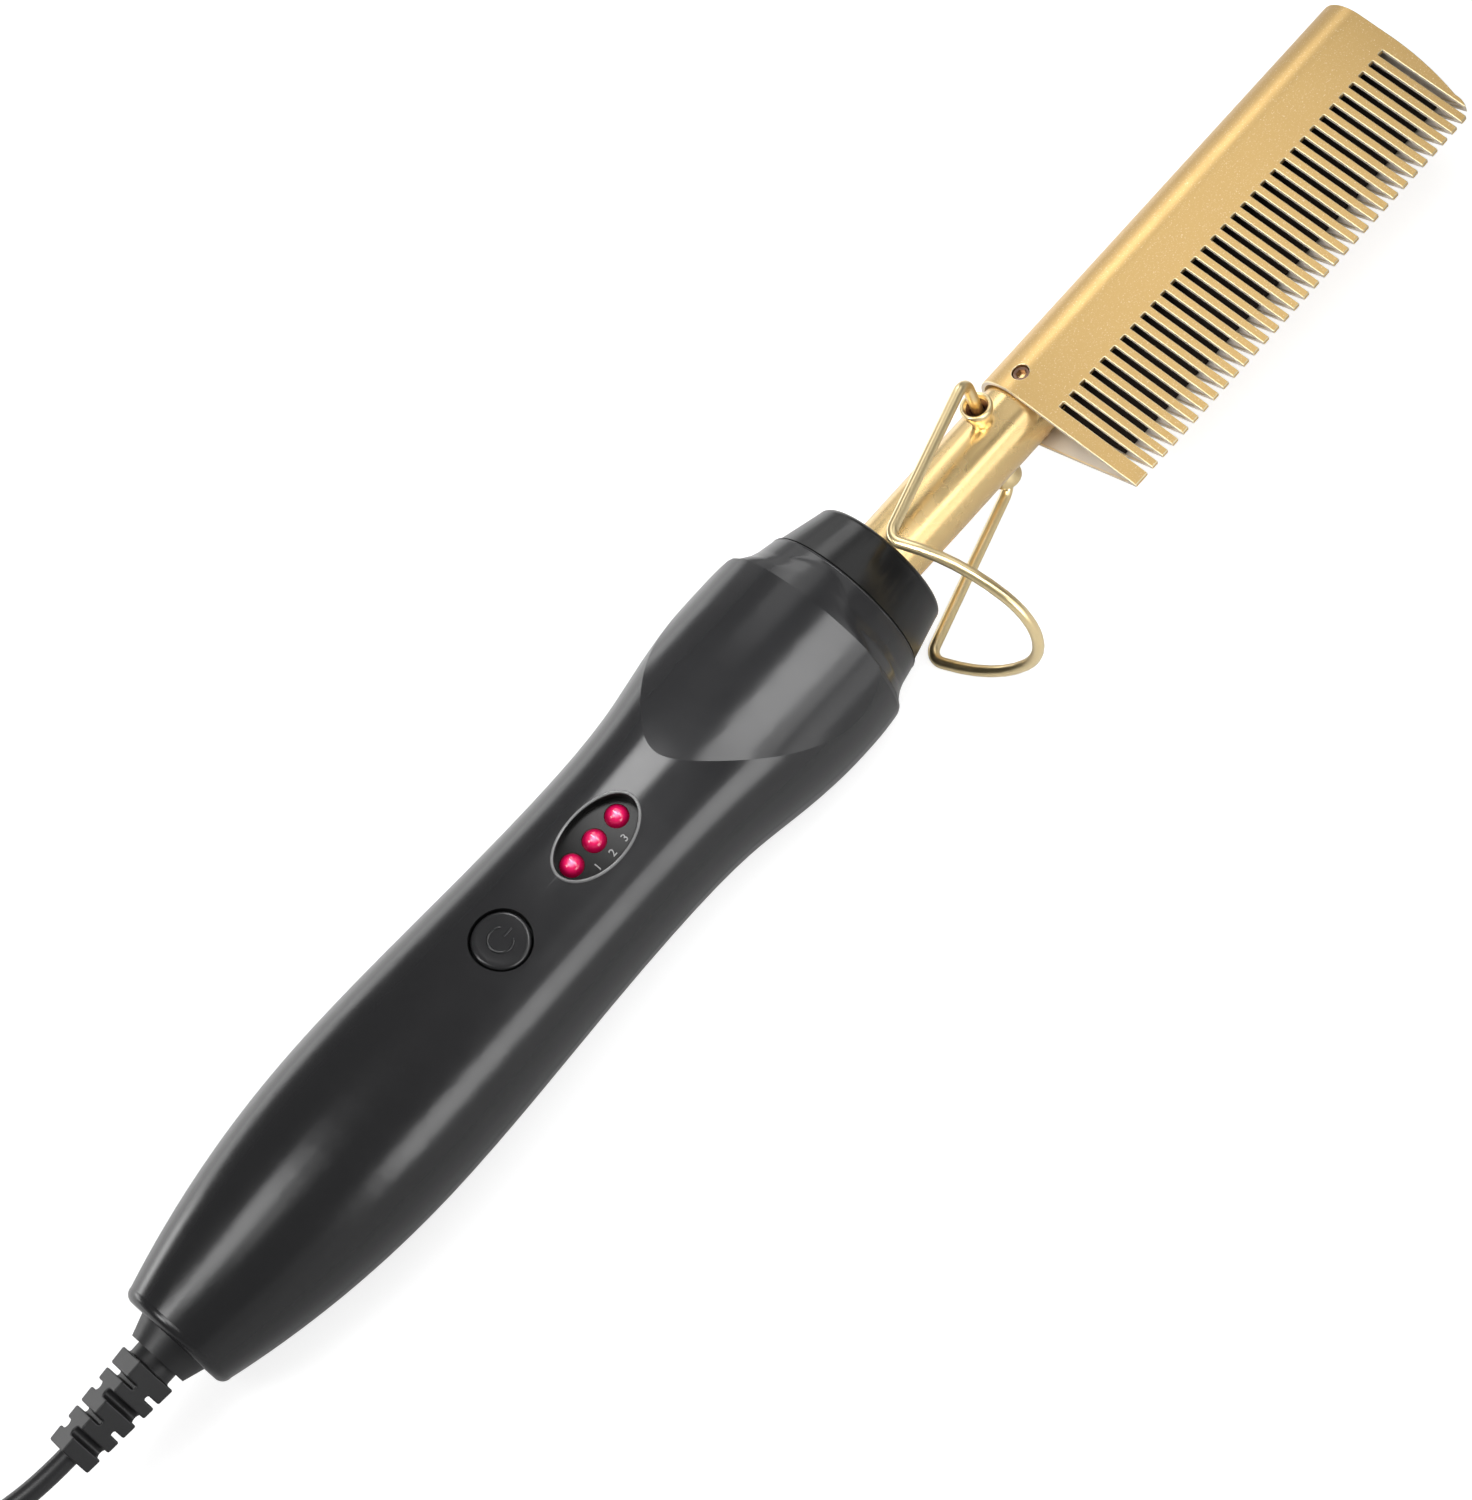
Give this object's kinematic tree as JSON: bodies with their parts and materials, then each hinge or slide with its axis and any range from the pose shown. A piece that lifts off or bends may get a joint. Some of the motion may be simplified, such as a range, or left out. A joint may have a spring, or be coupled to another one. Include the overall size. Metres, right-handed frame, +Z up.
{
  "type": "hot comb",
  "caption": "Electric hot comb: black moulded grip with a button and lamps, a gold slotted heated comb head, a folding wire stand and a swivel cord.",
  "frame": {"origin": "on the resting surface, below the middle of the tool's outline without its free cord, coil and plug", "axes": "+X along the tool from the butt of the grip to the comb head, +Z up across the flat of the comb, teeth pointing to -Y"},
  "size_m": [0.5015, 0.055, 0.0358],
  "materials": {
    "grip_plastic": "satin black moulded plastic",
    "collar_plastic": "smooth black heat-resistant plastic",
    "heat_fibre": "pressed mineral fibre",
    "steel": "zinc-plated steel",
    "gold_tube": "satin gold plating on steel tube",
    "gold_comb": "fine-grained satin gold plating on sheet metal",
    "dark_steel": "blackened steel",
    "ceramic": "dark heater ceramic",
    "sleeving": "woven heat-proof sleeving",
    "fuse_case": "drawn metal case",
    "gold_wire": "gold-plated wire",
    "button_plastic": "semi-gloss black plastic",
    "switch_case": "dark plastic",
    "board": "glass-fibre circuit board",
    "lamp_lens": "red lamp lens",
    "window_plastic": "gloss black plastic",
    "relief_plastic": "flexible black moulding",
    "contact_brass": "bare brass",
    "cord_sheath": "black flexible sheath",
    "tie_strap": "black flat strap",
    "pin_metal": "nickel-plated brass pins"
  },
  "bodies": {
    "tool": {"handle_front_shell": "grip_plastic", "handle_rear_shell": "grip_plastic", "nose_collar": "collar_plastic", "heat_washer": "heat_fibre", "tube_flange": "steel", "barrel_tube": "gold_tube", "comb_head": "gold_comb", "head_screw": "dark_steel", "heater_core": "ceramic", "heater_leads": "sleeving", "thermal_fuse": "fuse_case", "upper_stud": "gold_wire", "lower_stud": "gold_wire", "tact_switch": "switch_case", "circuit_board": "board", "board_screws": "steel", "led_lamps": "lamp_lens", "window_panel": "window_plastic", "shell_screws": "steel", "swivel_socket": "relief_plastic", "terminal_block": "switch_case", "contact_brushes": "contact_brass", "supply_leads": "sleeving", "power_cord": "cord_sheath", "cord_coil": "cord_sheath", "cord_tail": "cord_sheath", "cord_tie": "tie_strap", "plug_body": "cord_sheath", "plug_pins": "pin_metal"},
    "stand": {"stand_wire": "gold_wire"},
    "button": {"power_button": "button_plastic", "switch_plunger": "button_plastic"},
    "cord_swivel": {"strain_relief": "relief_plastic", "slip_ring_pin": "contact_brass"}
  },
  "joints": [
    {"name": "stand_hinge", "type": "hinge", "parent": "tool", "child": "stand", "pos_m": [0.0617, 0.00675, 0.017], "axis": [0, 0, 1], "range_deg": [-26, 72]},
    {"name": "button_press", "type": "slide", "parent": "tool", "child": "button", "axis": [0, 0.3007, -0.9537], "range_m": [0, 0.0008], "stiffness_N_per_m": 300, "springref_m": -0.002},
    {"name": "cord_swivel_turn", "type": "hinge", "parent": "tool", "child": "cord_swivel", "pos_m": [-0.1345, 0.00675, 0.017], "axis": [1, 0, 0], "continuous": true}
  ]
}
